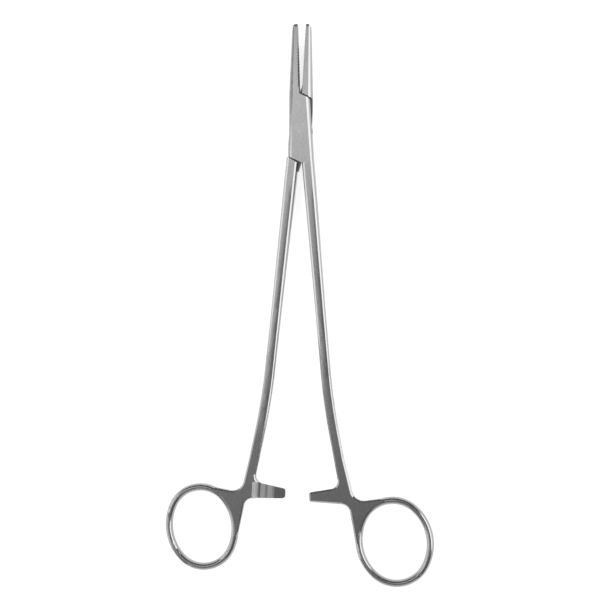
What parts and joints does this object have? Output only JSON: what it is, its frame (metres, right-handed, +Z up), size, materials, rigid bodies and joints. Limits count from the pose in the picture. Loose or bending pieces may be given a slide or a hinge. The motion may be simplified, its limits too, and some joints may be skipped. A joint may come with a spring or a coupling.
{
  "type": "surgical needle holder",
  "caption": "Straight stainless steel needle holder with serrated jaws, box lock, long shanks, ratchet bars and oval finger rings; opens and closes about its riveted pin",
  "frame": {"origin": "on the hinge axis, at the back face of the box lock, which the instrument lies on", "axes": "X across the instrument, +Y along it towards the jaw tips, +Z up out of the front face"},
  "size_m": [0.0991, 0.2062, 0.0056],
  "materials": {
    "satin_steel": "satin faces with polished bevels",
    "pin_steel": "ground flush with the lock faces"
  },
  "bodies": {
    "box_half": {"box_arm": "satin_steel", "pivot_pin": "pin_steel"},
    "tenon_half": {"tenon_arm": "satin_steel"}
  },
  "joints": [
    {"name": "box_lock_hinge", "type": "hinge", "parent": "box_half", "child": "tenon_half", "pos_m": [0, 0, 0.0028], "axis": [0, 0, 1], "range_deg": [-37.6, 4.4]}
  ]
}
